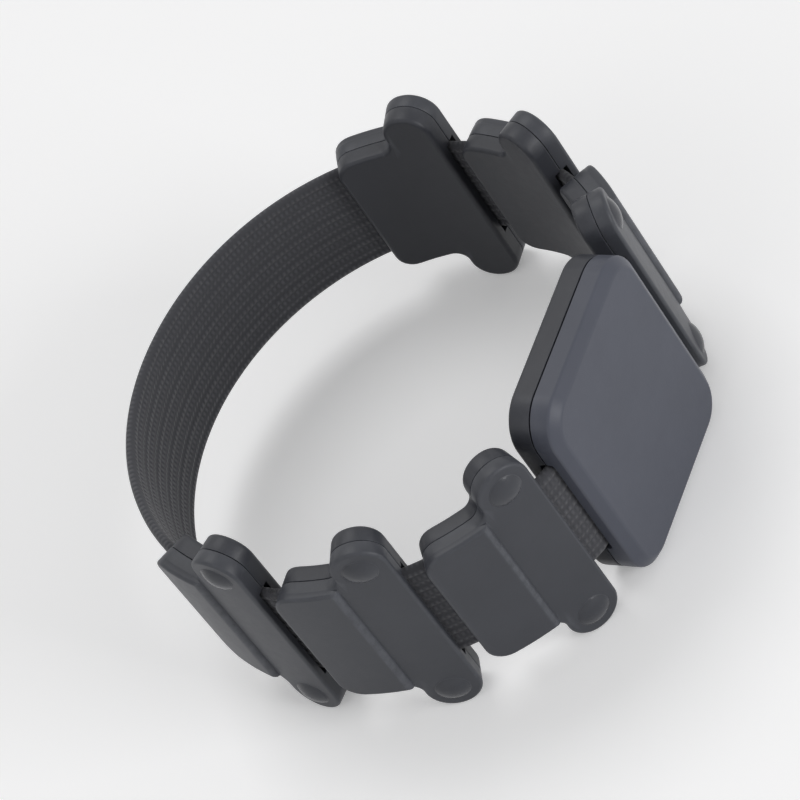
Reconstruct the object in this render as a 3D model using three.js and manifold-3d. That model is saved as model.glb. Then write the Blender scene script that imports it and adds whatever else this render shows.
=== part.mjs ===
// Magnetic wristband: a ring of moulded links on woven elastic, with a large magnetic pad.
// Millimetres, +Z up. The ring lies on its side: its axis is Z, and the pad faces -Y.
import * as THREE from 'three';
import { mergeVertices } from 'three/addons/utils/BufferGeometryUtils.js';
import Module from 'manifold-3d';

const wasm = await Module();
wasm.setup();

// Ring and elastic
const bandRadius = 27.9;          // middle of the woven elastic
const bandThick = 1.1;
const bandWide = 14.4;
const fit = 0.3;                  // clearance between neighbouring pieces
const openFit = 0.9;              // wider gap at the place where the loop is opened
const overrun = 2.2;              // how far a cutting shape passes the cut face

// Pad
const padWide = 23;
const padFaceLift = 3.03;         // from the elastic's line in the pad to the pad's face
const padCorner = 4.2;
const padRim = 1.1;               // bevel round the outer face, seen from the front
const padRimDeep = 0.9;
const padInnerRim = 0.5;
const padWall = 0.9;              // wall over the magnets and under the keeper
const padEndWall = 2.95;
const padLip = 1.3;               // lip that traps the elastic's bead
const padMagnetThick = 2.4;
const padMagnetGap = 0.6;
const padKeeperThick = 0.5;
const padSlit = 0.6;              // between the pad and the first lobe bars
const beadWide = 1.5;             // folded and stitched end of the elastic
const beadThick = 2.1;

// Links
const linkPairs = 3;
const linkGap = 2.2;
const linkFloor = 1.15;           // wall on the wrist side of the elastic
const linkRoof = 0.85;            // wall over the elastic
const neckLong = 7.6;
const neckWide = 18;
const neckFillet = 1.5;
const neckCorner = 2.2;
const neckRaise = 0.6;
const stepInset = 0.2;            // from the lobe bar to the raised step
const discDiameter = 4;
const discThick = 2;
const discRoof = 0.5;             // skin over the disc's pocket
const discWall = 0.9;             // round the disc at the lobe's end
const discWeb = 1.05;             // between the disc's pocket and the channel

// Fineness of round shapes
const arcSteps = 8;
const filletSteps = 5;
const discSteps = 20;
const backSteps = 20;

// Colours
const padColour = 0x50535d;
const linkColour = 0x44464c;
const elasticColour = 0x3b3c41;
const nickelColour = 0xc9cacc;
const steelColour = 0x8d9094;

const turn = Math.PI / 180;
const half = 0.5;
const bandInner = bandRadius - bandThick * half;
const bandOuter = bandRadius + bandThick * half;
const channelHalfTall = bandWide * half + fit;
const lobeHalf = discDiameter * half + discWall;
const discOffset = channelHalfTall + discWeb + fit + discDiameter * half;
const ringMiddle = discOffset + lobeHalf;
const ringTall = ringMiddle + ringMiddle;
const linkInner = bandInner - fit - linkFloor;
const lobeOuter = bandOuter + fit + linkRoof;
const neckOuter = lobeOuter + neckRaise;
const neckHalf = neckWide * half;
const discOuter = lobeOuter - discRoof - fit;
const discInner = discOuter - discThick;

const padHalf = padWide * half;
const padThick = padWall + fit + padMagnetThick + fit + padKeeperThick + fit + padWall;
const chord = Math.sqrt(bandRadius ** 2 - padHalf ** 2);
const padFace = chord + padFaceLift;
const padBack = padFace - padThick;

const linkEndTurn = (lobeHalf + neckLong) / bandRadius / turn;
const lobeHalfTurn = lobeHalf / bandRadius / turn;
const padInnerTurn = Math.atan2(padHalf, padBack) / turn;
const padSlitTurn = padSlit / linkInner / turn;
const lobeInnerTurn = Math.atan2(lobeHalf, linkInner) / turn;
const firstLobeTurn = padInnerTurn + padSlitTurn + lobeInnerTurn;
const linkPitchTurn = (lobeHalf + lobeHalf + neckLong + linkGap) / bandRadius / turn;
const fitTurn = fit / bandRadius / turn;
const openFitTurn = openFit / bandRadius / turn;
const overrunTurn = overrun / bandRadius / turn;

// Places on the ring are turns in degrees from the pad's middle, towards +X.
const lobeTurn = (index) => firstLobeTurn + linkPitchTurn * index;
const gapTurns = [];
gapTurns.push((padInnerTurn + lobeTurn(0) - lobeHalfTurn) * half);
for (let index = 1; index < linkPairs; index += 1) {
  gapTurns.push((lobeTurn(index - 1) + linkEndTurn + lobeTurn(index) - lobeHalfTurn) * half);
}
const backTurn = lobeTurn(linkPairs - 1) + linkEndTurn + (fitTurn + overrunTurn) * half;
gapTurns.push(backTurn);

// Manifold joins and cuts closed meshes.
function solid(geometry) {
  const bare = geometry.clone();
  bare.deleteAttribute('normal');
  bare.deleteAttribute('uv');
  const merged = mergeVertices(bare, 1e-5);
  return new wasm.Manifold(new wasm.Mesh({
    numProp: 3,
    vertProperties: new Float32Array(merged.attributes.position.array),
    triVerts: new Uint32Array(merged.index.array),
  }));
}

function geometryOf(manifold) {
  const mesh = manifold.getMesh();
  const geometry = new THREE.BufferGeometry();
  geometry.setAttribute('position', new THREE.BufferAttribute(new Float32Array(mesh.vertProperties), 3));
  geometry.setIndex(new THREE.BufferAttribute(new Uint32Array(mesh.triVerts), 1));
  const loose = geometry.toNonIndexed();
  loose.computeVertexNormals();
  return loose;
}

function joined(...pieces) {
  return pieces.reduce((sum, piece) => sum.add(piece));
}

// A box from its two corners.
function block(x0, x1, y0, y1, z0, z1) {
  const geometry = new THREE.BoxGeometry(x1 - x0, y1 - y0, z1 - z0);
  geometry.translate((x0 + x1) * half, (y0 + y1) * half, (z0 + z1) * half);
  return solid(geometry);
}

// A curved slab between two radii and two polar angles in degrees.
function slab(inner, outer, from, to, low, high, steps = arcSteps) {
  const shape = new THREE.Shape();
  shape.absarc(0, 0, outer, from * turn, to * turn, false);
  shape.absarc(0, 0, inner, to * turn, from * turn, true);
  shape.closePath();
  const geometry = new THREE.ExtrudeGeometry(shape, {
    depth: high - low,
    bevelEnabled: false,
    curveSegments: steps,
  });
  geometry.translate(0, 0, low);
  return solid(geometry);
}

// A prism that runs out along +X, from an outline in (Y, Z).
function radialPrism(shape, from, to) {
  const geometry = new THREE.ExtrudeGeometry(shape, {
    depth: to - from,
    bevelEnabled: false,
    curveSegments: filletSteps,
  });
  geometry.translate(0, 0, from);
  const basis = new THREE.Matrix4().makeBasis(
    new THREE.Vector3(0, 1, 0),
    new THREE.Vector3(0, 0, 1),
    new THREE.Vector3(1, 0, 0),
  );
  geometry.applyMatrix4(basis);
  return geometry;
}

// A copy mirrored along X (axis 0) or Y (axis 1), with its faces still pointing out.
function mirrored(geometry, axis) {
  const flipped = geometry.index ? geometry.toNonIndexed() : geometry.clone();
  const place = flipped.attributes.position;
  for (let corner = 0; corner < place.count; corner += 3) {
    for (const name of [corner, corner + 1, corner + 2]) {
      place.setComponent(name, axis, -place.getComponent(name, axis));
    }
    const x = place.getX(corner + 1);
    const y = place.getY(corner + 1);
    const z = place.getZ(corner + 1);
    place.setXYZ(corner + 1, place.getX(corner + 2), place.getY(corner + 2), place.getZ(corner + 2));
    place.setXYZ(corner + 2, x, y, z);
  }
  flipped.computeVertexNormals();
  return flipped;
}

// One link, with its lobe bar's middle on +X and its neck towards +Y.
function lobeOutline() {
  const reach = lobeHalf + neckLong + overrun;
  const shape = new THREE.Shape();
  shape.moveTo(reach, -neckHalf);
  shape.lineTo(reach, neckHalf);
  shape.lineTo(lobeHalf + neckFillet, neckHalf);
  shape.absarc(lobeHalf + neckFillet, neckHalf + neckFillet, neckFillet, -90 * turn, -180 * turn, true);
  shape.absarc(0, discOffset, lobeHalf, 0, 180 * turn, false);
  shape.absarc(0, -discOffset, lobeHalf, 180 * turn, 360 * turn, false);
  shape.absarc(lobeHalf + neckFillet, -neckHalf - neckFillet, neckFillet, 180 * turn, 90 * turn, true);
  shape.closePath();
  return shape;
}

// The far end of a neck, with rounded corners. It stays open towards the lobe bar.
function neckEndOutline() {
  const away = -lobeOuter;
  const wide = ringTall;
  const shape = new THREE.Shape();
  shape.moveTo(away, -wide);
  shape.lineTo(-neckCorner - stepInset, -wide);
  shape.lineTo(-neckCorner - stepInset, -neckHalf);
  shape.absarc(-neckCorner, -neckHalf + neckCorner, neckCorner, -90 * turn, 0, false);
  shape.absarc(-neckCorner, neckHalf - neckCorner, neckCorner, 0, 90 * turn, false);
  shape.lineTo(-neckCorner - stepInset, neckHalf);
  shape.lineTo(-neckCorner - stepInset, wide);
  shape.lineTo(away, wide);
  shape.closePath();
  return shape;
}

function neckOutline() {
  const from = lobeHalf + stepInset;
  const reach = lobeHalf + neckLong + overrun;
  const shape = new THREE.Shape();
  shape.moveTo(from, -ringTall);
  shape.lineTo(reach, -ringTall);
  shape.lineTo(reach, ringTall);
  shape.lineTo(from, ringTall);
  shape.closePath();
  return shape;
}

const prismFrom = linkInner * half;
const prismTo = neckOuter + overrun;
const lobePrism = solid(radialPrism(lobeOutline(), prismFrom, prismTo));
const neckPrism = solid(radialPrism(neckOutline(), prismFrom, prismTo));
const endGeometry = radialPrism(neckEndOutline(), prismFrom, prismTo);
endGeometry.rotateZ(linkEndTurn * turn);
const endPrism = solid(endGeometry);
const linkOutline = lobePrism.intersect(endPrism);

function linkSlab(inner, outer, tall) {
  const from = -lobeHalfTurn - overrunTurn;
  const to = linkEndTurn + overrunTurn;
  return slab(inner, outer, from, to, -tall, tall);
}

function disc(radius, from, to) {
  const geometry = new THREE.CylinderGeometry(radius, radius, to - from, discSteps);
  geometry.rotateZ(-90 * turn);
  geometry.translate((from + to) * half, 0, 0);
  return geometry;
}

function discCut(side) {
  const geometry = disc(discDiameter * half + fit, discInner - fit, discOuter + fit);
  geometry.translate(0, 0, side * discOffset);
  return solid(geometry);
}

const channel = linkSlab(bandInner - fit, bandOuter + fit, channelHalfTall);
const baseSlab = linkSlab(linkInner, bandRadius - fit * half, ringTall);
const coverSlab = linkSlab(bandRadius + fit * half, lobeOuter, ringTall);
const raisedSlab = linkSlab(bandRadius + fit * half, neckOuter, ringTall);
const discCuts = discCut(1).add(discCut(-1));
const linkBase = geometryOf(
  baseSlab.intersect(linkOutline).subtract(channel).subtract(discCuts),
);
const linkCover = geometryOf(
  joined(coverSlab.intersect(linkOutline), raisedSlab.intersect(neckPrism).intersect(linkOutline))
    .subtract(channel)
    .subtract(discCuts),
);
const linkDisc = disc(discDiameter * half, discInner, discOuter);

// Pad pieces, drawn with X across, Y up and Z outwards, and then stood up.
function padOutline() {
  const left = -padHalf;
  const shape = new THREE.Shape();
  shape.moveTo(left + padCorner, 0);
  shape.absarc(padHalf - padCorner, padCorner, padCorner, -90 * turn, 0, false);
  shape.absarc(padHalf - padCorner, ringTall - padCorner, padCorner, 0, 90 * turn, false);
  shape.absarc(left + padCorner, ringTall - padCorner, padCorner, 90 * turn, 180 * turn, false);
  shape.absarc(left + padCorner, padCorner, padCorner, 180 * turn, 270 * turn, false);
  shape.closePath();
  return shape;
}

function padBlank(rim, rimDeep, outwards) {
  const geometry = new THREE.ExtrudeGeometry(padOutline(), {
    depth: padThick,
    bevelEnabled: true,
    bevelThickness: rimDeep,
    bevelSize: rim,
    bevelOffset: -rim,
    bevelSegments: 2,
    curveSegments: filletSteps,
  });
  geometry.translate(0, 0, outwards ? padFace - rimDeep - padThick : padBack + rimDeep);
  geometry.rotateX(90 * turn);
  return solid(geometry);
}

const low = ringMiddle - channelHalfTall;
const high = ringMiddle + channelHalfTall;
const beadOuter = padHalf - padLip - fit;
const beadInner = beadOuter - beadWide;
const cavityHalfWide = beadInner - fit - padWall;
const cavityHalfTall = ringMiddle - padEndWall;
const cavityFront = padFace - padWall;
const cavityBack = padBack + padWall;
const padMagnetWide = cavityHalfWide - fit - padMagnetGap * half;
const padMagnetTall = cavityHalfTall + cavityHalfTall - fit - fit;

function padHollow() {
  const magnets = block(
    -cavityHalfWide, cavityHalfWide, -cavityFront, -cavityBack,
    ringMiddle - cavityHalfTall, ringMiddle + cavityHalfTall,
  );
  const beadReach = beadThick * half + fit;
  const mouthReach = bandThick * half + fit;
  const cuts = [magnets];
  for (const side of [-1, 1]) {
    const beadEdges = [side * (beadInner - fit), side * (beadOuter + fit)].sort((a, b) => a - b);
    const mouthEdges = [side * beadInner, side * (padHalf + overrun)].sort((a, b) => a - b);
    cuts.push(block(beadEdges[0], beadEdges[1], -chord - beadReach, -chord + beadReach, low, high));
    cuts.push(block(mouthEdges[0], mouthEdges[1], -chord - mouthReach, -chord + mouthReach, low, high));
  }
  return joined(...cuts);
}

const hollow = padHollow();
const seam = fit * half;
const outerHalf = block(-padWide, padWide, -padFace - overrun, -chord - seam, -overrun, ringTall + overrun);
const innerHalf = block(-padWide, padWide, -chord + seam, -padBack + overrun, -overrun, ringTall + overrun);
const padCover = padBlank(padRim, padRimDeep, true).intersect(outerHalf).subtract(hollow);
const padBase = padBlank(padInnerRim, padInnerRim, false).intersect(innerHalf).subtract(hollow);

// Elastic pieces
function strip(from, to, steps = arcSteps) {
  const bottom = ringMiddle - bandWide * half;
  return slab(bandInner, bandOuter, from - 90, to - 90, bottom, bottom + bandWide, steps);
}

// The elastic's end, from its bead in the pad to a turn on the +X side.
function frontStrip(end) {
  const line = bandThick * half;
  const bead = beadThick * half;
  const outerX = Math.sqrt(bandOuter ** 2 - (chord + line) ** 2);
  const innerX = Math.sqrt(bandInner ** 2 - (chord - line) ** 2);
  const outerFrom = Math.atan2(-chord - line, outerX);
  const innerFrom = Math.atan2(-chord + line, innerX);
  const to = (end - 90) * turn;
  const shape = new THREE.Shape();
  shape.moveTo(beadInner, -chord - bead);
  shape.lineTo(beadOuter, -chord - bead);
  shape.lineTo(beadOuter, -chord - line);
  shape.absarc(0, 0, bandOuter, outerFrom, to, false);
  shape.absarc(0, 0, bandInner, to, innerFrom, true);
  shape.lineTo(beadOuter, -chord + line);
  shape.lineTo(beadOuter, -chord + bead);
  shape.lineTo(beadInner, -chord + bead);
  shape.closePath();
  const geometry = new THREE.ExtrudeGeometry(shape, {
    depth: bandWide,
    bevelEnabled: false,
    curveSegments: filletSteps,
  });
  geometry.translate(0, 0, ringMiddle - bandWide * half);
  return geometry;
}

const part = new THREE.Group();
const materials = {
  pad: new THREE.MeshStandardMaterial({ color: padColour, roughness: 0.42, metalness: 0 }),
  link: new THREE.MeshStandardMaterial({ color: linkColour, roughness: 0.45, metalness: 0 }),
  elastic: new THREE.MeshStandardMaterial({ color: elasticColour, roughness: 0.9, metalness: 0 }),
  nickel: new THREE.MeshStandardMaterial({ color: nickelColour, roughness: 0.2, metalness: 1 }),
  steel: new THREE.MeshStandardMaterial({ color: steelColour, roughness: 0.4, metalness: 1 }),
};

function add(parent, name, geometry, material) {
  const mesh = new THREE.Mesh(geometry, material.clone());
  mesh.name = name;
  parent.add(mesh);
  return mesh;
}

add(part, 'pad_cover', geometryOf(padCover), materials.pad);
add(part, 'pad_base', geometryOf(padBase), materials.pad);
add(part, 'pad_keeper', geometryOf(block(
  -cavityHalfWide + fit, cavityHalfWide - fit, -cavityBack - fit - padKeeperThick, -cavityBack - fit,
  ringMiddle - padMagnetTall * half, ringMiddle + padMagnetTall * half,
)), materials.steel);
for (const [name, side] of [['pad_magnet_r', 1], ['pad_magnet_l', -1]]) {
  const near = side * padMagnetGap * half;
  const far = near + side * padMagnetWide;
  const edges = [near, far].sort((a, b) => a - b);
  add(part, name, geometryOf(block(
    edges[0], edges[1], -cavityFront + fit, -cavityFront + fit + padMagnetThick,
    ringMiddle - padMagnetTall * half, ringMiddle + padMagnetTall * half,
  )), materials.nickel);
}

for (const [letter, side] of [['r', 1], ['l', -1]]) {
  // The loop is opened beside the pad on the left, so the gap there is wider.
  const firstGap = side > 0 ? fitTurn : openFitTurn;
  const front = frontStrip(gapTurns[0] - fitTurn * half);
  add(part, `band_front_${letter}`, side > 0 ? front : mirrored(front, 0), materials.elastic);
  for (let index = 0; index < linkPairs; index += 1) {
    const number = index + 1;
    const start = gapTurns[index] + (index === 0 ? firstGap - fitTurn * half : fitTurn * half);
    const end = gapTurns[index + 1] - fitTurn * half;
    const turns = [side * start, side * end].sort((a, b) => a - b);
    add(part, `band_${letter}${number}`, geometryOf(strip(turns[0], turns[1])), materials.elastic);

    const link = new THREE.Group();
    link.rotation.z = (side * lobeTurn(index) - 90) * turn;
    link.position.z = ringMiddle;
    part.add(link);
    const base = side > 0 ? linkBase : mirrored(linkBase, 1);
    const cover = side > 0 ? linkCover : mirrored(linkCover, 1);
    add(link, `link_${letter}${number}_base`, base, materials.link);
    add(link, `link_${letter}${number}_cover`, cover, materials.link);
    const upper = add(link, `link_${letter}${number}_magnet_upper`, linkDisc, materials.nickel);
    upper.position.z = discOffset;
    const lower = add(link, `link_${letter}${number}_magnet_lower`, linkDisc, materials.nickel);
    lower.position.z = -discOffset;
  }
}

const backFrom = backTurn + fitTurn * half;
const backTo = 360 - backTurn - fitTurn * half;
add(part, 'band_back', geometryOf(strip(backFrom, backTo, backSteps)), materials.elastic);

export default part;
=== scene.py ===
"""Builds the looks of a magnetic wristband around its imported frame, as a Blender add-on.

Everything is in metres, +Z up. The ring lies on its side round the Z axis, and the pad faces -Y.
"""

import math

import bmesh
import bpy
from bpy.props import FloatProperty, FloatVectorProperty, IntProperty, PointerProperty
from mathutils import Matrix, Vector


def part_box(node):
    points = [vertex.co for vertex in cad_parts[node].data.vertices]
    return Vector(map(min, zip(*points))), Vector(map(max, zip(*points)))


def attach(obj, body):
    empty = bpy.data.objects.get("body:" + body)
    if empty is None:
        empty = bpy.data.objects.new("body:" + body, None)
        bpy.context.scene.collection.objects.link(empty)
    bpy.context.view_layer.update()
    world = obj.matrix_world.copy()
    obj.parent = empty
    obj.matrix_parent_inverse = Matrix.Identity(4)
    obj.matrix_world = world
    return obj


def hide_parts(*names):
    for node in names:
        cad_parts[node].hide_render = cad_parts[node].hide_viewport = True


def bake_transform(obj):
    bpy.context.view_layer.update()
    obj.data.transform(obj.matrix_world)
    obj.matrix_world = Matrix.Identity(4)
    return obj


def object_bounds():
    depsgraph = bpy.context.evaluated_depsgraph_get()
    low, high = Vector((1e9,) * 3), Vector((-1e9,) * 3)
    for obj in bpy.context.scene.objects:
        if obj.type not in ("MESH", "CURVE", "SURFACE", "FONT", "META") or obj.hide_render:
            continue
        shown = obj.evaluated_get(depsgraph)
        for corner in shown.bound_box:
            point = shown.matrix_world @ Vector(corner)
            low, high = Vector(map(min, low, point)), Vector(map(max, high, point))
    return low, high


bl_info = {
    "name": "Magnetic wristband",
    "version": (1, 0, 0),
    "blender": (4, 5, 0),
    "location": "View3D > Sidebar > Wristband",
    "description": "Models the pad, links, magnets and woven elastic of a wristband",
    "category": "Add Mesh",
}

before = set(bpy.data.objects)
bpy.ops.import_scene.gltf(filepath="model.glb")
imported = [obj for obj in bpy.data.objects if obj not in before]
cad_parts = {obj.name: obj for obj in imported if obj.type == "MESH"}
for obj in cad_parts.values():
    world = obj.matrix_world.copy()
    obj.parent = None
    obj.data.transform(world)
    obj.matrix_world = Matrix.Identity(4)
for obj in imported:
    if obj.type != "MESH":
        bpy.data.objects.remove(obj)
CAD_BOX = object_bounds()

MM = 0.001
SIDES = {"r": 1, "l": -1}
LINK_COUNT = 3
RING_AXIS = (0, 0, 1)
X_AXIS = Vector((1, 0, 0))
Y_AXIS = Vector((0, 1, 0))

# A point nearer than this to a plane counts as on it.
TOLERANCE = 0.00002
# Points nearer than this to each other are merged.
DOUBLED = TOLERANCE * 0.2
# A direction with more than this share along an axis counts as along it.
STRAIGHT = 0.9
# Areas, in square metres, above which a face is a shell's broad side or a flat strip of it.
BROAD_FACE = 0.0001
STRIP_FACE = 0.000007
# Wear starts where two faces bend by the first angle, and is full when the second is added.
FLAT_BEND = math.radians(4)
FULL_BEND = math.radians(36)
# Wear of the wrist-side halves, against that of the covers.
BASE_WEAR = 0.6
# Room round the elastic in the pad's mouths and in the links' channels.
CLEARANCE = 0.3 * MM


def length(name, text, value):
    """A size in metres that a user can change."""
    return FloatProperty(name=name, description=text, default=value, unit="LENGTH", precision=5)


def tint(name, text, value):
    """A colour that a user can change."""
    return FloatVectorProperty(name=name, description=text, default=value, subtype="COLOR", size=3)


def degrees(name, text, value):
    """An angle that a user can change."""
    return FloatProperty(name=name, description=text, default=math.radians(value), subtype="ANGLE")


class WristbandPadSizes(bpy.types.PropertyGroup):
    """Sizes of the magnetic pad."""

    wide: length("Width", "Width across the wrist strap", 23.0 * MM)
    thick: length("Thickness", "From the wrist side to the face", 5.6 * MM)
    corner: length("Corner", "Radius of the corners", 4.2 * MM)
    rim: length("Rim", "Width of the bevel round the face", 1.1 * MM)
    rim_deep: length("Rim depth", "Depth of the bevel round the face", 0.9 * MM)
    edge: length("Edge", "Rounding of the bevel's two lines", 0.22 * MM)
    inner_rim: length("Wrist-side rim", "Rounding of the wrist side", 0.55 * MM)
    seam: length("Seam", "Groove between cover and base", 0.12 * MM)
    recess: length("Recess", "Depth of the wrist side's panel", 0.18 * MM)
    recess_inset: length("Recess inset", "Distance of that panel from the edge", 2.6 * MM)


class WristbandLinkSizes(bpy.types.PropertyGroup):
    """Sizes of one link."""

    lobe_long: length("Lobe bar", "Length of the lobe bar along the ring", 5.8 * MM)
    neck_long: length("Neck", "Length of the neck along the ring", 7.6 * MM)
    neck_wide: length("Neck width", "Width of the neck", 18.0 * MM)
    fillet: length("Fillet", "Hollow rounding between lobe bar and neck", 1.5 * MM)
    corner: length("Corner", "Rounding of the neck's far corners", 2.2 * MM)
    inner: length("Inner radius", "Wrist side of a link", 25.9 * MM)
    outer: length("Outer radius", "Outside of a lobe bar", 29.6 * MM)
    raise_up: length("Raise", "Height of the neck above the lobe bar", 0.6 * MM)
    step_inset: length("Step inset", "From the lobe bar to the step", 0.3 * MM)
    slant: length("Step slant", "Run of the step's slope", 0.26 * MM)
    dome: length("Dome", "Diameter of the low dome over a magnet", 3.6 * MM)
    dome_high: length("Dome height", "Height of that dome", 0.56 * MM)
    edge: length("Edge", "Rounding of the outer edges", 0.38 * MM)
    inner_edge: length("Inner edge", "Rounding of the wrist-side edges", 0.5 * MM)
    seam: length("Seam", "Gap between cover and base", 0.02 * MM)
    seam_edge: length("Seam edge", "Rounding of both edges at the seam", 0.14 * MM)
    pocket: length("Pocket", "Diameter of the pocket round a disc magnet", 4.6 * MM)
    pocket_floor: length("Pocket floor", "Radius of the pocket's wrist side", 26.5 * MM)
    pocket_roof: length("Pocket roof", "Radius of the pocket's outer end", 29.1 * MM)
    first: degrees("First lobe", "From the pad's middle to the first lobe bar", 34.4317)
    pitch: degrees("Pitch", "From one lobe bar to the next", 32.0363)
    strips: IntProperty(name="Strips", description="Cuts before a link is curved", default=26)


class WristbandElasticSizes(bpy.types.PropertyGroup):
    """Sizes of the woven elastic."""

    radius: length("Radius", "Middle of the elastic", 27.9 * MM)
    thick: length("Thickness", "Thickness of the elastic", 1.1 * MM)
    wide: length("Width", "Width of the elastic", 14.4 * MM)
    ribs: IntProperty(name="Ribs", description="Ribs along the elastic", default=11)
    rib_high: length("Rib height", "Height of a rib", 0.13 * MM)
    elbow: length("Elbow", "Radius of the bend at the pad", 3.0 * MM)
    pick: length("Pick", "Distance between the weave's crossing threads", 0.62 * MM)


class WristbandColours(bpy.types.PropertyGroup):
    """Colours of the wristband."""

    pad: tint("Pad", "Slate plastic of the pad", (0.077, 0.083, 0.107))
    link: tint("Links", "Charcoal plastic of the links", (0.053, 0.056, 0.066))
    # Painted shade: the wrist-side halves get this darker copy of the links' plastic, standing for
    # the shade on side walls that face away from the lamps.
    base: tint("Bases", "The same plastic, darker, on the wrist side", (0.037, 0.039, 0.047))
    worn: tint("Worn edges", "Colour along rubbed edges", (0.23, 0.24, 0.27))
    elastic: tint("Elastic", "Woven elastic", (0.052, 0.053, 0.061))
    thread: tint("Thread", "Raised threads of the elastic", (0.096, 0.098, 0.11))
    nickel: tint("Nickel", "Plating of the magnets", (0.66, 0.66, 0.67))
    steel: tint("Steel", "Keeper plate", (0.36, 0.37, 0.38))
    floor: tint("Floor", "Pale floor", (0.96, 0.96, 0.965))


GROUPS = {
    "wristband_pad": WristbandPadSizes,
    "wristband_link": WristbandLinkSizes,
    "wristband_elastic": WristbandElasticSizes,
    "wristband_colours": WristbandColours,
}


def pad_sizes():
    return bpy.context.scene.wristband_pad


def link_sizes():
    return bpy.context.scene.wristband_link


def elastic_sizes():
    return bpy.context.scene.wristband_elastic


def colours():
    return bpy.context.scene.wristband_colours


def ring_tall():
    """Height of the whole band, from the frame."""
    return CAD_BOX[1][2] - CAD_BOX[0][2]


def lobe_turn(index):
    """Turn from the pad's middle to the middle of a lobe bar, in radians."""
    return link_sizes().first + link_sizes().pitch * index


# Modelling helpers


def fresh():
    """Leaves edit mode and clears the selection."""
    if bpy.context.object and bpy.context.object.mode != "OBJECT":
        bpy.ops.object.mode_set(mode="OBJECT")
    bpy.ops.object.select_all(action="DESELECT")


def activate(obj):
    """Makes obj the only selected object, and the active one."""
    fresh()
    obj.select_set(True)
    bpy.context.view_layer.objects.active = obj


def settle(name):
    """Moves the active object's place into its mesh, and names it."""
    bpy.ops.object.transform_apply(location=True, rotation=True, scale=True)
    bpy.context.object.name = name
    return bpy.context.object


def cube(name, low, high):
    """A box between two corners."""
    fresh()
    middle = [(a + b) / 2 for a, b in zip(low, high)]
    spans = [b - a for a, b in zip(low, high)]
    bpy.ops.mesh.primitive_cube_add(size=1, location=middle, scale=spans)
    return settle(name)


def cylinder(name, radius, low, high, place, sides):
    """An upright cylinder at place (x, y)."""
    fresh()
    middle = (*place, (low + high) / 2)
    bpy.ops.mesh.primitive_cylinder_add(
        vertices=sides, radius=radius, depth=high - low, location=middle
    )
    return settle(name)


def edit(obj):
    """Opens obj for editing with nothing selected, and gives its mesh."""
    activate(obj)
    bpy.ops.object.mode_set(mode="EDIT")
    bpy.ops.mesh.select_mode(type="VERT")
    bpy.ops.mesh.select_all(action="DESELECT")
    return bmesh.from_edit_mesh(obj.data)


def runs_along(edge, axis):
    """Whether an edge runs along the axis x, y or z."""
    way = (edge.verts[1].co - edge.verts[0].co).normalized()
    return abs(getattr(way, axis)) > STRAIGHT


def looks_along(face, axis, sign):
    """Whether a face looks along an axis, or against it where sign is -1."""
    return getattr(face.normal, axis) * sign > STRAIGHT


def pick(obj, kind, wanted):
    """Opens obj for editing and selects the edges or faces that wanted(part) accepts."""
    mesh = edit(obj)
    bpy.ops.mesh.select_mode(type=kind)
    for part in mesh.edges if kind == "EDGE" else mesh.faces:
        if wanted(part):
            part.select_set(True)
    bmesh.update_edit_mesh(obj.data)


def bevel(obj, wanted, offset, segments):
    """Rounds the edges that wanted(edge) accepts."""
    pick(obj, "EDGE", wanted)
    bpy.ops.mesh.bevel(
        offset=offset, segments=segments, profile=0.5, affect="EDGES", clamp_overlap=False
    )
    bpy.ops.object.mode_set(mode="OBJECT")


def modify(obj, kind, **values):
    """Applies a modifier to obj."""
    activate(obj)
    step = obj.modifiers.new("step", kind)
    for key, value in values.items():
        setattr(step, key, value)
    bpy.ops.object.modifier_apply(modifier=step.name)


def combine(obj, other, operation):
    """Joins or cuts obj with other, which is used up."""
    modify(obj, "BOOLEAN", operation=operation, solver="EXACT", object=other)
    bpy.data.objects.remove(other, do_unlink=True)


def clean(obj):
    """Merges doubled points and turns all faces outwards."""
    edit(obj)
    bpy.ops.mesh.select_all(action="SELECT")
    bpy.ops.mesh.remove_doubles(threshold=DOUBLED)
    bpy.ops.mesh.normals_make_consistent(inside=False)
    bpy.ops.object.mode_set(mode="OBJECT")


def smooth(obj, angle=32):
    """Shades obj smoothly below an angle in degrees."""
    activate(obj)
    bpy.ops.object.shade_smooth_by_angle(angle=math.radians(angle))


def even(obj):
    """Lets the large faces set the shading's normals, so that they look flat between edges."""
    modify(obj, "WEIGHTED_NORMAL", keep_sharp=True)


def slice_along(obj, places, normal):
    """Cuts obj into strips, so that it can be curved."""
    for place in places:
        edit(obj)
        bpy.ops.mesh.select_all(action="SELECT")
        bpy.ops.mesh.bisect(plane_co=place, plane_no=normal, use_fill=False)
    bpy.ops.object.mode_set(mode="OBJECT")


def copied(obj, name):
    """A copy of obj with its own mesh."""
    fresh()
    twin = obj.copy()
    twin.data = obj.data.copy()
    twin.name = name
    bpy.context.scene.collection.objects.link(twin)
    return twin


def store(obj, name, values):
    """Keeps one number for each point of obj, for its material."""
    layer = obj.data.attributes.new(name, "FLOAT", "POINT")
    layer.data.foreach_set("value", values)


def mark_wear(obj, strength=1.0, spared=None):
    """Stores how much each point lies on a rounded edge, for the rubbed look."""
    mesh = bmesh.new()
    mesh.from_mesh(obj.data)
    values = []
    for point in mesh.verts:
        bend = 0.0
        for edge in point.link_edges:
            if len(edge.link_faces) == 2 and edge.is_convex:
                bend = max(bend, edge.calc_face_angle(0.0))
        beside_flat = any(face.calc_area() > STRIP_FACE for face in point.link_faces)
        if beside_flat or (spared and spared(point.co)):
            bend = 0.0
        values.append(min(1.0, max(0.0, strength * (bend - FLAT_BEND) / FULL_BEND)))
    mesh.free()
    store(obj, "wear", values)


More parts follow.
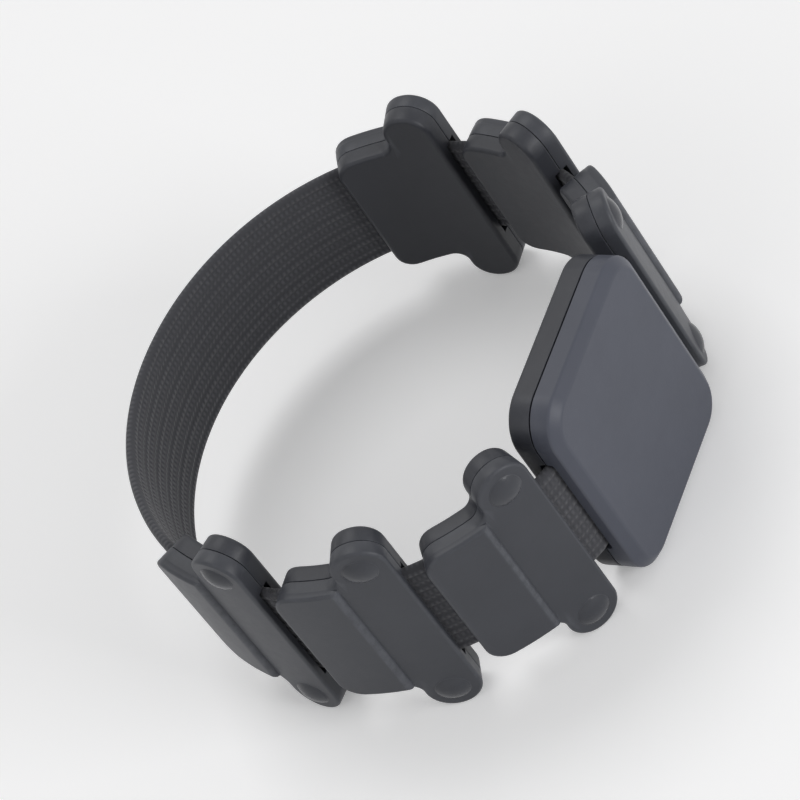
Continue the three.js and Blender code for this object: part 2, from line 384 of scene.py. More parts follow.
def finish_piece(obj, name, material, body, nodes, blend_to=None):
    """Names a piece, gives it its material and ties it to its body, or only fixes it in place where
    blend_to is given.
    """
    obj.name = name
    obj.data.name = name
    obj.data.materials.clear()
    obj.data.materials.append(material)
    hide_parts(*nodes)
    if blend_to:
        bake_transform(obj)
    else:
        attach(obj, body)


# Materials

# Bands that a wave texture shows in one metre at a scale of 1, nearly.
WAVE_BANDS = 3.1416
# Woven cords on each rib of the elastic.
CORDS_PER_RIB = 1.5


def adder(tree):
    """A helper that adds nodes to a tree; its in_ values are for the node's sockets."""

    def add(kind, **values):
        node = tree.nodes.new(kind)
        for key, value in values.items():
            if key.startswith("in_"):
                node.inputs[key[3:].replace("_", " ")].default_value = value
            else:
                setattr(node, key, value)
        return node

    add.link = tree.links.new
    return add


def node_material(name):
    """A material, its shader and a helper that adds nodes; no helper where it was made before."""
    material = bpy.data.materials.get(name)
    if material:
        return material, None, None
    material = bpy.data.materials.new(name)
    material.use_nodes = True
    tree = material.node_tree
    return material, tree.nodes["Principled BSDF"], adder(tree)


def maths(add, operation, *sides):
    """The result of a maths node, whose sides are numbers or other nodes' outputs."""
    node = add("ShaderNodeMath", operation=operation)
    for socket, side in zip(node.inputs, sides):
        if isinstance(side, float):
            socket.default_value = side
        else:
            add.link(side, socket)
    return node.outputs["Value"]


def mapped(add, value, **ends):
    """A value moved from one range to another."""
    node = add("ShaderNodeMapRange", **ends)
    add.link(value, node.inputs["Value"])
    return node.outputs["Result"]


def texture(add, kind, place, **values):
    """The strength of a texture at place."""
    node = add(kind, **values)
    add.link(place, node.inputs["Vector"])
    return node.outputs["Fac"]


def noise(add, place, scale, detail, roughness=0.5):
    """The strength of a noise texture at place."""
    values = {"in_Scale": scale, "in_Detail": detail, "in_Roughness": roughness}
    return texture(add, "ShaderNodeTexNoise", place, **values)


def two_tone(add, share, low, high, places=(0.0, 1.0)):
    """A colour between two, by share."""
    node = add("ShaderNodeValToRGB")
    for element, place, colour in zip(node.color_ramp.elements, places, (low, high)):
        element.position = place
        element.color = (*colour, 1)
    add.link(share, node.inputs["Fac"])
    return node.outputs["Color"]


def shaded(colour, factor):
    """A lighter or darker colour."""
    return [min(1, part * factor) for part in colour]


def raise_bumps(add, shader, height, strength, distance):
    """Gives a shader's surface fine relief."""
    bump = add("ShaderNodeBump", in_Strength=strength, in_Distance=distance)
    add.link(height, bump.inputs["Height"])
    add.link(bump.outputs["Normal"], shader.inputs["Normal"])


def moulded_plastic(name, colour):
    """Satin moulded plastic: fine spark-eroded grain, faint flow marks and rubbed edges."""
    material, shader, add = node_material(name)
    if add is None:
        return material
    place = add("ShaderNodeTexCoord").outputs["Object"]
    grain = noise(add, place, 4200.0, 3.0, 0.6)
    cloud = noise(add, place, 160.0, 4.0, 0.55)
    scuff = noise(add, place, 900.0, 5.0, 0.7)
    tone = two_tone(add, cloud, shaded(colour, 0.95), shaded(colour, 1.05), (0.3, 0.72))

    wear = add("ShaderNodeAttribute", attribute_name="wear").outputs["Fac"]
    patches = mapped(add, scuff, in_From_Min=0.25, in_From_Max=0.8)
    rubbed = maths(add, "MULTIPLY", wear, patches)
    paint = add("ShaderNodeMix", data_type="RGBA")
    under, over = [socket for socket in paint.inputs if socket.type == "RGBA"]
    over.default_value = (*colours().worn, 1)
    add.link(maths(add, "MULTIPLY", rubbed, 0.34), paint.inputs[0])
    add.link(tone, under)
    painted = next(socket for socket in paint.outputs if socket.type == "RGBA")
    add.link(painted, shader.inputs["Base Color"])

    shine = mapped(add, scuff, in_To_Min=0.36, in_To_Max=0.5)
    polish = add("ShaderNodeAttribute", attribute_name="polish").outputs["Fac"]
    add.link(maths(add, "MULTIPLY_ADD", polish, -0.22, shine), shader.inputs["Roughness"])
    shader.inputs["Specular IOR Level"].default_value = 0.3
    raise_bumps(add, shader, grain, 0.22, 0.00004)
    return material


def woven_elastic():
    """Woven elastic: raised cords along it, crossed by fine threads."""
    material, shader, add = node_material("woven_elastic")
    if add is None:
        return material
    sizes = elastic_sizes()
    place = add("ShaderNodeUVMap", uv_map="strip").outputs["UV"]

    def bands(direction, per_metre, distortion):
        values = {"in_Scale": per_metre / WAVE_BANDS, "in_Distortion": distortion}
        way = {"wave_type": "BANDS", "bands_direction": direction}
        return texture(add, "ShaderNodeTexWave", place, **way, **values)

    cross = bands("X", 1 / sizes.pick, 0.6)
    along = bands("Y", sizes.ribs * CORDS_PER_RIB / sizes.wide, 0.25)
    fuzz = noise(add, place, 2600.0, 4.0, 0.7)
    mottle = noise(add, place, 420.0, 3.0, 0.6)
    weave = maths(add, "MULTIPLY", cross, along)
    threads = maths(add, "MULTIPLY", weave, mottle)
    tone = two_tone(add, threads, colours().elastic, colours().thread, (0.08, 0.6))
    add.link(tone, shader.inputs["Base Color"])
    height = maths(add, "MULTIPLY_ADD", fuzz, 0.35, weave)
    raise_bumps(add, shader, height, 0.7, 0.00012)
    shader.inputs["Roughness"].default_value = 0.86
    shader.inputs["Sheen Weight"].default_value = 0.25
    shader.inputs["Sheen Roughness"].default_value = 0.5
    return material


def nickel_plate():
    """Bright nickel plating with hairline scratches."""
    material, shader, add = node_material("nickel_plate")
    if add is None:
        return material
    place = add("ShaderNodeTexCoord").outputs["Object"]
    fine = noise(add, place, 2400.0, 5.0, 0.65)
    cloud = noise(add, place, 500.0, 3.0)
    nickel = colours().nickel
    tone = two_tone(add, cloud, shaded(nickel, 0.86), shaded(nickel, 1.1))
    add.link(tone, shader.inputs["Base Color"])
    add.link(mapped(add, fine, in_To_Min=0.22, in_To_Max=0.4), shader.inputs["Roughness"])
    raise_bumps(add, shader, fine, 0.08, 0.00002)
    shader.inputs["Metallic"].default_value = 1.0
    return material


def sheet_steel():
    """Plain cold-rolled sheet steel, for the hidden keeper plate."""
    material, shader, add = node_material("sheet_steel")
    if add is None:
        return material
    rolled = noise(add, add("ShaderNodeTexCoord").outputs["Object"], 900.0, 4.0)
    tone = two_tone(add, rolled, shaded(colours().steel, 0.8), colours().steel)
    add.link(tone, shader.inputs["Base Color"])
    shader.inputs["Metallic"].default_value = 1.0
    shader.inputs["Roughness"].default_value = 0.42
    return material


def pad_plastic():
    return moulded_plastic("slate_plastic", colours().pad)


def link_plastic():
    return moulded_plastic("charcoal_plastic", colours().link)


# The links' plastic made darker as painted shade, for the wrist-side halves of the pad and the
# links.
def shade_painted_base_plastic():
    return moulded_plastic("charcoal_plastic_with_painted_shade", colours().base)


# Pad

# A mouth's depth in the pad, how far its cutter stands out, and the rounding of its corners.
MOUTH_DEEP = 3.2 * MM
MOUTH_OUT = 2 * MM
MOUTH_CORNER = 0.4 * MM


def pad_chord():
    """Distance from the ring's middle to the elastic in the pad, where the pad's halves meet."""
    return math.sqrt(elastic_sizes().radius ** 2 - (pad_sizes().wide / 2) ** 2)


def pad_block(name, low, high):
    """The pad's outline between two depths, with its corners rounded."""
    sizes = pad_sizes()
    obj = cube(name, (-sizes.wide / 2, low, 0), (sizes.wide / 2, high, ring_tall()))
    bevel(obj, lambda edge: runs_along(edge, "y"), sizes.corner, segments=14)
    return obj


def rim_of(place, sign):
    """Accepts the edges round the flat end of a pad shell at depth place."""

    def wanted(edge):
        flat = all(abs(v.co.y - place) < TOLERANCE for v in edge.verts)
        ends = [face for face in edge.link_faces if looks_along(face, "y", sign)]
        return flat and len(ends) == 1

    return wanted


def lower_corners(cover, face):
    """Sets the corner points of the face's outer line back to the rim's depth."""
    depth = -face + pad_sizes().rim_deep
    mesh = bmesh.new()
    mesh.from_mesh(cover.data)
    flats = [f for f in mesh.faces if looks_along(f, "y", -1) and f.calc_area() > BROAD_FACE]
    keep = {point.index for flat in flats for point in flat.verts}
    for point in mesh.verts:
        if point.co.y < depth - TOLERANCE and point.index not in keep:
            point.co.y = depth
    mesh.to_mesh(cover.data)
    mesh.free()


def rim_lines(face):
    """Accepts the two lines of the bevel round the pad's face."""
    lines = (-face, -face + pad_sizes().rim_deep)

    def wanted(edge):
        return any(all(abs(v.co.y - line) < TOLERANCE for v in edge.verts) for line in lines)

    return wanted


def mouth_cuts(obj):
    """Cuts the elastic's two mouths into a pad shell."""
    half_pad = pad_sizes().wide / 2
    chord = pad_chord()
    reach = elastic_sizes().thick / 2 + CLEARANCE
    half_tall = elastic_sizes().wide / 2 + CLEARANCE
    middle = ring_tall() / 2
    for side in SIDES.values():
        edges = sorted((side * (half_pad - MOUTH_DEEP), side * (half_pad + MOUTH_OUT)))
        cutter = cube(
            "mouth",
            (edges[0], -chord - reach, middle - half_tall),
            (edges[1], -chord + reach, middle + half_tall),
        )
        bevel(cutter, lambda edge: runs_along(edge, "x"), MOUTH_CORNER, segments=4)
        combine(obj, cutter, "DIFFERENCE")


class WRISTBAND_OT_pad(bpy.types.Operator):
    """Models the pad's cover and base"""

    bl_idname = "wristband.pad"
    bl_label = "Magnetic pad"

    def execute(self, context):
        face = -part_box("pad_cover")[0][1]
        cover = self.model_cover(face)
        finish_piece(cover, "pad_cover_shell", pad_plastic(), "pad", ["pad_cover"])
        base = self.model_base(face - pad_sizes().thick)
        finish_piece(base, "pad_base_shell", shade_painted_base_plastic(), "pad", ["pad_base"])
        return {"FINISHED"}

    @staticmethod
    def model_cover(face):
        """The outer half, from the seam to the flat face at -Y."""
        sizes = pad_sizes()
        seam = -pad_chord() - sizes.seam / 2
        cover = pad_block("pad_cover_shell", -face, seam)
        pick(cover, "FACE", lambda part: looks_along(part, "y", -1))
        bpy.ops.mesh.inset(thickness=sizes.rim, depth=0)
        bpy.ops.object.mode_set(mode="OBJECT")
        inner = sizes.wide / 2 - sizes.rim + TOLERANCE
        inner_high = ring_tall() / 2 - sizes.rim + TOLERANCE
        middle = ring_tall() / 2
        for point in cover.data.vertices:
            inside = abs(point.co.x) < inner and abs(point.co.z - middle) < inner_high
            if point.co.y < -face + TOLERANCE and not inside:
                point.co.y = -face + sizes.rim_deep
        lower_corners(cover, face)
        bevel(cover, rim_lines(face), sizes.edge, segments=4)
        bevel(cover, rim_of(seam, 1), sizes.seam, segments=2)
        mouth_cuts(cover)
        clean(cover)
        smooth(cover)
        even(cover)
        mark_wear(cover)
        return cover

    @staticmethod
    def model_base(back):
        """The wrist-side half, with a shallow panel in its back."""
        sizes = pad_sizes()
        seam = -pad_chord() + sizes.seam / 2
        base = pad_block("pad_base_shell", seam, -back)
        bevel(base, rim_of(-back, 1), sizes.inner_rim, segments=6)
        bevel(base, rim_of(seam, -1), sizes.seam, segments=2)
        pick(base, "FACE", lambda part: looks_along(part, "y", 1) and part.calc_area() > BROAD_FACE)
        bpy.ops.mesh.inset(thickness=sizes.recess_inset, depth=0)
        bpy.ops.mesh.inset(thickness=sizes.recess, depth=-sizes.recess)
        bpy.ops.object.mode_set(mode="OBJECT")
        mouth_cuts(base)
        clean(base)
        smooth(base)
        even(base)
        mark_wear(base, BASE_WEAR, spared=lambda place: place.y > -back - TOLERANCE)
        return base


# Links, modelled flat (X along the ring, Y up the band, Z outwards) and then curved

# How far the two arcs of a lobe's end stay from its middle, so that they don't cross.
LOBE_SPARE = 0.06 * MM
# How far the raised neck's walls stand in from the neck's, so that they never coincide.
HAIR = 0.02 * MM
# Room round a disc pocket in which edges stay sharp.
POCKET_MARGIN = 0.1 * MM
# A dome's depth in the cover, the unworn ring round it, and how far above its foot it is polished.
DOME_SUNK = 0.05 * MM
DOME_MARGIN = 0.15 * MM
DOME_FOOT = 0.03 * MM
# Place of the first cut across a link, as a share of a strip, clear of the round corners.
FIRST_CUT = 0.37


def corners_past(place):
    """Accepts the upright edges whose X is at least place."""
    return lambda edge: runs_along(edge, "z") and edge.verts[0].co.x > place - TOLERANCE


def link_outline(name, low, high):
    """The mushroom outline of a link between two radii."""
    sizes = link_sizes()
    half_lobe = sizes.lobe_long / 2
    half_neck = sizes.neck_wide / 2
    half_tall = ring_tall() / 2
    bar = cube(name, (-half_lobe, -half_tall, low), (half_lobe, half_tall, high))
    neck = cube("neck", (0, -half_neck, low), (half_lobe + sizes.neck_long, half_neck, high))
    combine(bar, neck, "UNION")

    def lobe_end(edge):
        return runs_along(edge, "z") and abs(edge.verts[0].co.y) > half_tall - TOLERANCE

    def hollow(edge):
        place = edge.verts[0].co
        near = abs(place.x - half_lobe) < TOLERANCE and abs(abs(place.y) - half_neck) < TOLERANCE
        return runs_along(edge, "z") and near

    bevel(bar, lobe_end, half_lobe - LOBE_SPARE, segments=12)
    bevel(bar, hollow, sizes.fillet, segments=8)
    bevel(bar, corners_past(half_lobe + sizes.neck_long), sizes.corner, segments=7)
    return bar


def rim_edges(height, sign):
    """Accepts the edges at a height where outward faces meet walls, but not the pockets' rims."""
    reach = link_sizes().pocket / 2 + POCKET_MARGIN
    places = list(disc_places().values())

    def wanted(edge):
        faces = edge.link_faces
        heights = [v.co.z for v in edge.verts]
        if len(faces) != 2 or any(abs(z - height) > TOLERANCE for z in heights):
            return False
        middle = (edge.verts[0].co + edge.verts[1].co) / 2
        pocket_rim = any(math.hypot(middle.x, middle.y - y) < reach for y in places)
        flat = [looks_along(face, "z", sign) for face in faces]
        return flat[0] != flat[1] and not pocket_rim

    return wanted


def curve_round_ring(obj, middle_radius):
    """Wraps a flat link round the ring, with its lobe bar on +X."""
    for point in obj.data.vertices:
        angle = point.co.x / middle_radius
        radius = point.co.z
        point.co = Vector((radius * math.cos(angle), radius * math.sin(angle), point.co.y))


def set_on_ring(obj, index, side):
    """Turns a curved link to its place and lifts it to the band's middle."""
    if side < 0:
        obj.data.transform(Matrix.Scale(-1, 4, Y_AXIS))
        obj.data.flip_normals()
    angle = side * lobe_turn(index) - math.pi / 2
    obj.data.transform(Matrix.Rotation(angle, 4, "Z"))
    obj.data.transform(Matrix.Translation((0, 0, ring_tall() / 2)))


def disc_places():
    """Where the two disc magnets lie along a flat lobe bar."""
    offset = ring_tall() / 2 - link_sizes().lobe_long / 2
    return {"upper": offset, "lower": -offset}


def cut_for_elastic_and_discs(obj):
    """Cuts the elastic's channel and the two disc pockets into a flat link half."""
    sizes = link_sizes()
    elastic = elastic_sizes()
    half_tall = elastic.wide / 2 + CLEARANCE
    reach = elastic.thick / 2 + CLEARANCE
    span = sizes.lobe_long + sizes.neck_long
    channel = cube(
        "channel",
        (-span, -half_tall, elastic.radius - reach),
        (span * 2, half_tall, elastic.radius + reach),
    )
    combine(obj, channel, "DIFFERENCE")
    for offset in disc_places().values():
        ends = (sizes.pocket_floor, sizes.pocket_roof)
        pocket = cylinder("pocket", sizes.pocket / 2, *ends, (0, offset), sides=48)
        combine(obj, pocket, "DIFFERENCE")


def raised_neck():
    """The raised block on the neck, with a sloping step beside the lobe bar."""
    sizes = link_sizes()
    step = sizes.lobe_long / 2 + sizes.step_inset
    end = sizes.lobe_long / 2 + sizes.neck_long - HAIR
    side = sizes.neck_wide / 2 - HAIR
    top = sizes.outer + sizes.raise_up
    neck = cube("raised_neck", (step, -side, sizes.outer - sizes.raise_up), (end, side, top))
    bevel(neck, corners_past(end), sizes.corner, segments=7)
    for point in neck.data.vertices:
        if point.co.x < step + TOLERANCE:
            point.co.x += sizes.slant if point.co.z > sizes.outer else -sizes.slant
    bevel(neck, rim_edges(top, 1), sizes.edge, segments=5)
    clean(neck)
    return neck


def lobe_dome(offset):
    """A low round cap with a flat underside that marks the magnet under a lobe's end."""
    sizes = link_sizes()
    radius = (sizes.dome**2 / 4 + sizes.dome_high**2) / (2 * sizes.dome_high)
    foot = math.sqrt(radius**2 - (radius - sizes.dome_high - DOME_SUNK) ** 2)
    fresh()
    bpy.ops.mesh.primitive_uv_sphere_add(
        segments=48, ring_count=20, radius=foot, location=(0, offset, 0)
    )
    dome = settle("lobe_dome")
    for point in dome.data.vertices:
        away = math.hypot(point.co.x, point.co.y - offset)
        rise = math.sqrt(radius**2 - away**2) - radius + sizes.dome_high
        point.co.z = sizes.outer + (rise if point.co.z > 0 else -DOME_SUNK)
    return dome


def add_domes(cover):
    """Sets a dome into each end of a flat cover's lobe bar, as one object with it."""
    domes = [lobe_dome(offset) for offset in disc_places().values()]
    fresh()
    for piece in (*domes, cover):
        piece.select_set(True)
    bpy.context.view_layer.objects.active = cover
    bpy.ops.object.join()


def near_dome(place):
    """Whether a place on a flat link lies on a dome or at its foot."""
    reach = link_sizes().dome / 2 + DOME_MARGIN
    return any(math.hypot(place.x, place.y - y) < reach for y in disc_places().values())


def mark_polish(obj):
    """Stores which points lie on the domes, which are smoother than the rest."""
    foot = link_sizes().outer + DOME_FOOT
    values = [1.0 if near_dome(v.co) and v.co.z > foot else 0.0 for v in obj.data.vertices]
    store(obj, "polish", values)


def strip_places():
    """Where a flat link is cut across, so that it can be curved."""
    sizes = link_sizes()
    start = -sizes.lobe_long / 2
    span = sizes.lobe_long + sizes.neck_long
    step = span / sizes.strips
    return [(start + step * (k + FIRST_CUT), 0, 0) for k in range(sizes.strips)]


class WRISTBAND_OT_links(bpy.types.Operator):
    """Models the covers and bases of the links"""

    bl_idname = "wristband.links"
    bl_label = "Links"

    def execute(self, context):
        cover = self.model_cover()
        base = self.model_base()
        halves = [("cover", cover, link_plastic()), ("base", base, shade_painted_base_plastic())]
        for letter, side in SIDES.items():
            for index in range(LINK_COUNT):
                link = f"link_{letter}{index + 1}"
                for half, pattern, plastic in halves:
                    name = f"{link}_{half}_shell"
                    piece = copied(pattern, name)
                    set_on_ring(piece, index, side)
                    smooth(piece)
                    even(piece)
                    finish_piece(piece, name, plastic, link, [f"{link}_{half}"])
        for pattern in (cover, base):
            bpy.data.objects.remove(pattern, do_unlink=True)
        return {"FINISHED"}

    @staticmethod
    def model_cover():
        """A link's outer half, with the raised neck and the domes."""
        sizes = link_sizes()
        elastic = elastic_sizes()
        low = elastic.radius + sizes.seam / 2
        cover = link_outline("link_cover_pattern", low, sizes.outer)
        cut_for_elastic_and_discs(cover)
        bevel(cover, rim_edges(sizes.outer, 1), sizes.edge, segments=5)
        bevel(cover, rim_edges(low, -1), sizes.seam_edge, segments=2)
        combine(cover, raised_neck(), "UNION")
        slice_along(cover, strip_places(), (1, 0, 0))
        add_domes(cover)
        mark_wear(cover, spared=near_dome)
        mark_polish(cover)
        curve_round_ring(cover, elastic.radius)
        clean(cover)
        return cover

    @staticmethod
    def model_base():
        """A link's wrist-side half."""
        sizes = link_sizes()
        elastic = elastic_sizes()
        high = elastic.radius - sizes.seam / 2
        base = link_outline("link_base_pattern", sizes.inner, high)
        cut_for_elastic_and_discs(base)
        bevel(base, rim_edges(sizes.inner, -1), sizes.inner_edge, segments=5)
        bevel(base, rim_edges(high, 1), sizes.seam_edge, segments=2)
        slice_along(base, strip_places(), (1, 0, 0))
        mark_wear(base, BASE_WEAR)
        curve_round_ring(base, elastic.radius)
        clean(base)
        return base


class WRISTBAND_OT_magnets(bpy.types.Operator):
    """Plates the hidden magnets and the keeper, which keep their shapes from the frame"""

    bl_idname = "wristband.magnets"
    bl_label = "Magnets"

    def execute(self, context):
        for name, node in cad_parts.items():
            if "magnet" in name:
                self.coat(node, nickel_plate())
        self.coat(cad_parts["pad_keeper"], sheet_steel())
        return {"FINISHED"}

    @staticmethod
    def coat(node, material):
        node.data.materials.clear()
        node.data.materials.append(material)


# Elastic

# Points across one rib, and the power that makes a rib's top rounder than a sine wave's.
POINTS_PER_RIB = 4
RIB_ROUND = 0.7
# Width of each rounded long edge of the elastic, and how much it is thinned on either side.
SELVEDGE = 0.4 * MM
SELVEDGE_THIN = 0.22
# Turn of the ring from one cross section to the next, and the sections round the pad's bend.
SECTION_TURN = math.radians(1.6)
BEND_SECTIONS = 8
# Elastic inside each side of the pad.
LENGTH_IN_PAD = 3.0 * MM
# Half the gap between two pieces of elastic inside a link. In the first left link, where the
# ring is opened: the length of the pad's stub, and the wider gap after it.
HALF_GAP = 0.15 * MM
STUB = 1.0 * MM
OPEN_GAP = 0.9 * MM


def elastic_section(name):
    """The ribbed end face of the elastic, on the ring at the angle of the -Y axis."""
    sizes = elastic_sizes()
    fresh()
    middle = ring_tall() / 2
    bpy.ops.mesh.primitive_plane_add(
        size=1, location=(0, -sizes.radius, middle), rotation=(0, math.pi / 2, 0)
    )
    obj = settle(name)
    # The plane's face looks along X: its Y span is the thickness, its Z span the width.
    for point in obj.data.vertices:
        point.co.y = -sizes.radius + (point.co.y + sizes.radius) * sizes.thick
        point.co.z = middle + (point.co.z - middle) * sizes.wide
    edit(obj)
    cuts = sizes.ribs * POINTS_PER_RIB
    for k in range(1, cuts):
        height = middle - sizes.wide / 2 + sizes.wide * k / cuts
        bpy.ops.mesh.select_all(action="SELECT")
        bpy.ops.mesh.bisect(plane_co=(0, 0, height), plane_no=(0, 0, 1), use_fill=False)
    bpy.ops.object.mode_set(mode="OBJECT")
    for point in obj.data.vertices:
        share = (point.co.z - middle + sizes.wide / 2) / sizes.wide
        wave = abs(math.sin(math.pi * share * sizes.ribs)) ** RIB_ROUND
        edge = min(share, 1 - share) * sizes.wide
        round_off = 0.0
        if edge < SELVEDGE:
            round_off = (1 - edge / SELVEDGE) * sizes.thick * SELVEDGE_THIN
        drop = sizes.rib_high * (1 - wave) + round_off
        sign = 1 if point.co.y > -sizes.radius else -1
        point.co.y -= sign * drop
    return obj


def spin(angle, steps, centre=(0, 0, 0)):
    """Spins the selected end face about an upright axis, anticlockwise from above."""
    bpy.ops.mesh.spin(steps=steps, angle=-angle, center=centre, axis=RING_AXIS, dupli=False)


def sections(turn, least):
    """How many cross sections a turn of the ring takes, at least so many."""
    return max(least, int(turn / SECTION_TURN))


def paint_strip_map(obj):
    """Gives the elastic a map with distance along the ring and height, in metres."""
    sizes = elastic_sizes()
    layer = obj.data.uv_layers.new(name="strip")
    for loop in obj.data.loops:
        place = obj.data.vertices[loop.vertex_index].co
        angle = math.atan2(place.x, -place.y)
        if angle < -math.pi / 2 and place.x < 0 and place.y > 0:
            angle += 2 * math.pi
        layer.data[loop.index].uv = (angle * sizes.radius, place.z)


def ring_strip(name, start, end):
    """Elastic between two turns on the ring, in radians from the pad's middle."""
    obj = elastic_section(name)
    obj.data.transform(Matrix.Rotation(start, 4, "Z"))
    edit(obj)
    bpy.ops.mesh.select_all(action="SELECT")
    spin(end - start, sections(end - start, least=6))
    bpy.ops.object.mode_set(mode="OBJECT")
    clean(obj)
    return obj


def pad_strip(name, end):
    """Elastic from its bead in the pad, round the bend at the mouth, to a turn on the +X side."""
    sizes = elastic_sizes()
    chord = pad_chord()
    rest = sizes.radius - sizes.elbow
    bend_x = math.sqrt(rest**2 - (chord - sizes.elbow) ** 2)
    bend = math.asin(bend_x / rest)
    start_x = pad_sizes().wide / 2 - LENGTH_IN_PAD
    obj = elastic_section(name)
    obj.data.transform(Matrix.Translation((start_x, sizes.radius - chord, 0)))
    edit(obj)
    bpy.ops.mesh.select_all(action="SELECT")
    bpy.ops.mesh.extrude_region_move(TRANSFORM_OT_translate={"value": (bend_x - start_x, 0, 0)})
    spin(bend, BEND_SECTIONS, (bend_x, -chord + sizes.elbow, 0))
    spin(end - bend, sections(end - bend, least=3))
    bpy.ops.object.mode_set(mode="OBJECT")
    clean(obj)
    return obj


class WRISTBAND_OT_elastic(bpy.types.Operator):
    """Models the woven elastic from gap to gap"""

    bl_idname = "wristband.elastic"
    bl_label = "Woven elastic"

    def execute(self, context):
        sizes = link_sizes()
        elastic = elastic_sizes()
        half_lobe = sizes.lobe_long / 2 / elastic.radius
        reach = (sizes.lobe_long / 2 + sizes.neck_long) / elastic.radius
        hidden = HALF_GAP / elastic.radius
        mouth = STUB / elastic.radius
        middles = [lobe_turn(k) + (reach - half_lobe) / 2 for k in range(LINK_COUNT)]
        pad_edge = math.asin(pad_sizes().wide / 2 / elastic.radius) + 2 * hidden
        first = lobe_turn(0) - half_lobe

        front = pad_strip("elastic_pad_r1", middles[0] - hidden)
        self.done(front, "pad", ["band_front_r"], "link_r1", (pad_edge, first))

        stub = pad_strip("elastic_pad_l1", first + mouth)
        self.mirror(stub)
        self.done(stub, "pad", ["band_front_l"])

        for index in range(LINK_COUNT - 1):
            start = middles[index] + hidden
            end = middles[index + 1] - hidden
            gap = (lobe_turn(index) + reach, lobe_turn(index + 1) - half_lobe)
            for letter, side in SIDES.items():
                if side < 0 and index == 0:
                    start = first + mouth + OPEN_GAP / elastic.radius
                links = [f"{letter}{index + 1}", f"{letter}{index + 2}"]
                strip = ring_strip("elastic_" + "_".join(links[::side]), start, end)
                if side < 0:
                    self.mirror(strip)
                bodies = [f"link_{link}" for link in links]
                turns = [side * turn for turn in gap]
                self.done(strip, bodies[0], [f"band_{links[0]}"], bodies[1], turns)

        last = middles[-1] + hidden
        back = ring_strip("elastic_back", last, 2 * math.pi - last)
        edge = lobe_turn(LINK_COUNT - 1) + reach
        nodes = ["band_r3", "band_l3", "band_back"]
        self.done(back, "link_r3", nodes, "link_l3", (edge, 2 * math.pi - edge))
        return {"FINISHED"}

    @staticmethod
    def mirror(obj):
        """Moves a piece of elastic to the left of the pad."""
        obj.data.transform(Matrix.Scale(-1, 4, X_AXIS))
        obj.data.flip_normals()

    @staticmethod
    def done(obj, body, nodes, other=None, turns=None):
        """Ties elastic to a body, or, where it lies between two, only fixes it in place. turns is
        not used.
        """
        paint_strip_map(obj)
        smooth(obj, angle=60)
        finish_piece(obj, obj.name, woven_elastic(), body, nodes, other)


# Stage

# Name, place, size in metres and power in watts of each square lamp.
LAMPS = (
    ("key", (0.0, -0.58, 0.23), 0.28, 1.5),
    ("fill", (-0.5, 0.1, 0.35), 0.5, 0.4),
    ("top", (0.2, 0.25, 0.6), 0.35, 1.12),
)
# The world's strength as a light, and as a background that is seen.
SKY_LIGHT, SKY_SEEN = 0.3, 0.9
# Strength that is added to the floor's own colour where it is seen, to be nearly white.
FLOOR_GLOW = 0.24
FLOOR_SIZE = 4
# The camera's focal length in millimetres, and the nearest that it sees, in metres.
LENS = 196
NEAREST_SEEN = 0.01


def background_level(add, low, high):
    """A strength that is high for what is seen, also in metal or through glass, and low else."""
    path = add("ShaderNodeLightPath")
    seen = path.outputs["Is Camera Ray"]
    for kind in ("Is Glossy Ray", "Is Transmission Ray"):
        seen = maths(add, "MAXIMUM", seen, path.outputs[kind])
    return mapped(add, seen, in_To_Min=low, in_To_Max=high)


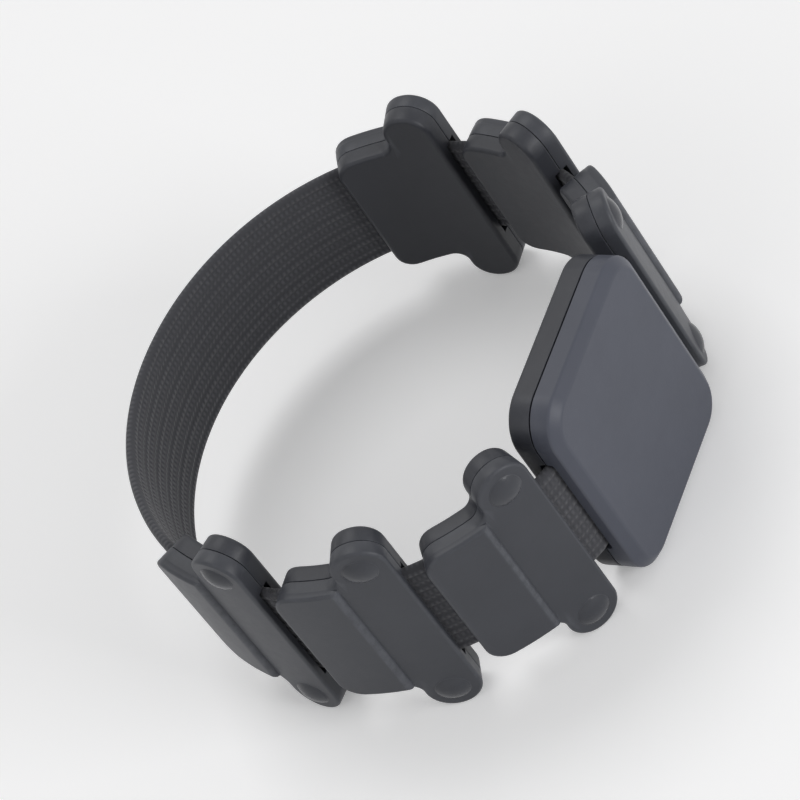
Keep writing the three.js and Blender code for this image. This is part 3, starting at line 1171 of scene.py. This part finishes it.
class WRISTBAND_OT_stage(bpy.types.Operator):
    """Adds the floor, the soft lamps and the camera"""

    bl_idname = "wristband.stage"
    bl_label = "Stage"

    azimuth: degrees("Azimuth", "Camera's turn round the band", -40)
    elevation: degrees("Elevation", "Camera's height above the ring's plane", 45)
    roll: degrees("Roll", "How far the band's axis leans left in the picture", 37)
    distance: length("Distance", "Camera's distance", 0.45)

    def execute(self, context):
        scene = context.scene
        target = Vector((0, 0, ring_tall() / 2))
        self.add_floor()
        scene.world = self.sky()
        for lamp in LAMPS:
            scene.collection.objects.link(self.lamp(target, *lamp))
        camera = self.camera(target)
        scene.collection.objects.link(camera)
        scene.camera = camera
        scene.view_settings.view_transform = "Standard"
        return {"FINISHED"}

    @staticmethod
    def add_floor():
        """A floor that looks nearly white and keeps the band's shadow."""
        fresh()
        bpy.ops.mesh.primitive_plane_add(size=FLOOR_SIZE, location=(0, 0, -TOLERANCE))
        floor = settle("floor")
        material, shader, add = node_material("pale_floor")
        shader.inputs["Base Color"].default_value = (*colours().floor, 1)
        shader.inputs["Roughness"].default_value = 0.9
        shader.inputs["Emission Color"].default_value = (1, 1, 1, 1)
        add.link(background_level(add, 0.0, FLOOR_GLOW), shader.inputs["Emission Strength"])
        floor.data.materials.append(material)

    @staticmethod
    def sky():
        """An even white world, weaker as a light than as a background."""
        world = bpy.data.worlds.new("studio")
        world.use_nodes = True
        backdrop = world.node_tree.nodes["Background"]
        add = adder(world.node_tree)
        add.link(background_level(add, SKY_LIGHT, SKY_SEEN), backdrop.inputs["Strength"])
        backdrop.inputs["Color"].default_value = (1, 1, 1, 1)
        return world

    @staticmethod
    def lamp(target, name, place, size, power):
        """A soft square lamp that looks at target."""
        light = bpy.data.lights.new(name, "AREA")
        light.size = size
        light.energy = power
        obj = bpy.data.objects.new(name, light)
        obj.location = place
        obj.rotation_euler = (target - Vector(place)).to_track_quat("-Z", "Y").to_euler()
        return obj

    def camera(self, target):
        """A camera that looks at target from this operator's side."""
        away = Vector(
            (
                math.sin(self.azimuth) * math.cos(self.elevation),
                -math.cos(self.azimuth) * math.cos(self.elevation),
                math.sin(self.elevation),
            )
        )
        data = bpy.data.cameras.new("camera")
        data.lens = LENS
        data.clip_start = NEAREST_SEEN
        obj = bpy.data.objects.new("camera", data)
        place = Matrix.Translation(target + away * self.distance)
        look = (-away).to_track_quat("-Z", "Y").to_matrix().to_4x4()
        obj.matrix_world = place @ look @ Matrix.Rotation(-self.roll, 4, "Z")
        return obj


class WRISTBAND_PT_panel(bpy.types.Panel):
    """Lists the pieces and their sizes"""

    bl_label = "Wristband"
    bl_idname = "WRISTBAND_PT_panel"
    bl_space_type = "VIEW_3D"
    bl_region_type = "UI"
    bl_category = "Wristband"

    def draw(self, context):
        layout = self.layout
        for step in STEPS:
            layout.operator(step.bl_idname)
        for name in GROUPS:
            box = layout.box()
            group = getattr(context.scene, name)
            for key in group.__annotations__:
                box.prop(group, key)


STEPS = (
    WRISTBAND_OT_pad,
    WRISTBAND_OT_links,
    WRISTBAND_OT_magnets,
    WRISTBAND_OT_elastic,
    WRISTBAND_OT_stage,
)
CLASSES = (*GROUPS.values(), *STEPS, WRISTBAND_PT_panel)


def register():
    for item in CLASSES:
        bpy.utils.register_class(item)
    for name, group in GROUPS.items():
        setattr(bpy.types.Scene, name, PointerProperty(type=group))


def unregister():
    for name in GROUPS:
        delattr(bpy.types.Scene, name)
    for item in reversed(CLASSES):
        bpy.utils.unregister_class(item)


def main():
    register()
    bpy.ops.wristband.pad()
    bpy.ops.wristband.links()
    bpy.ops.wristband.magnets()
    bpy.ops.wristband.elastic()
    bpy.ops.wristband.stage()


if __name__ == "__main__":
    main()
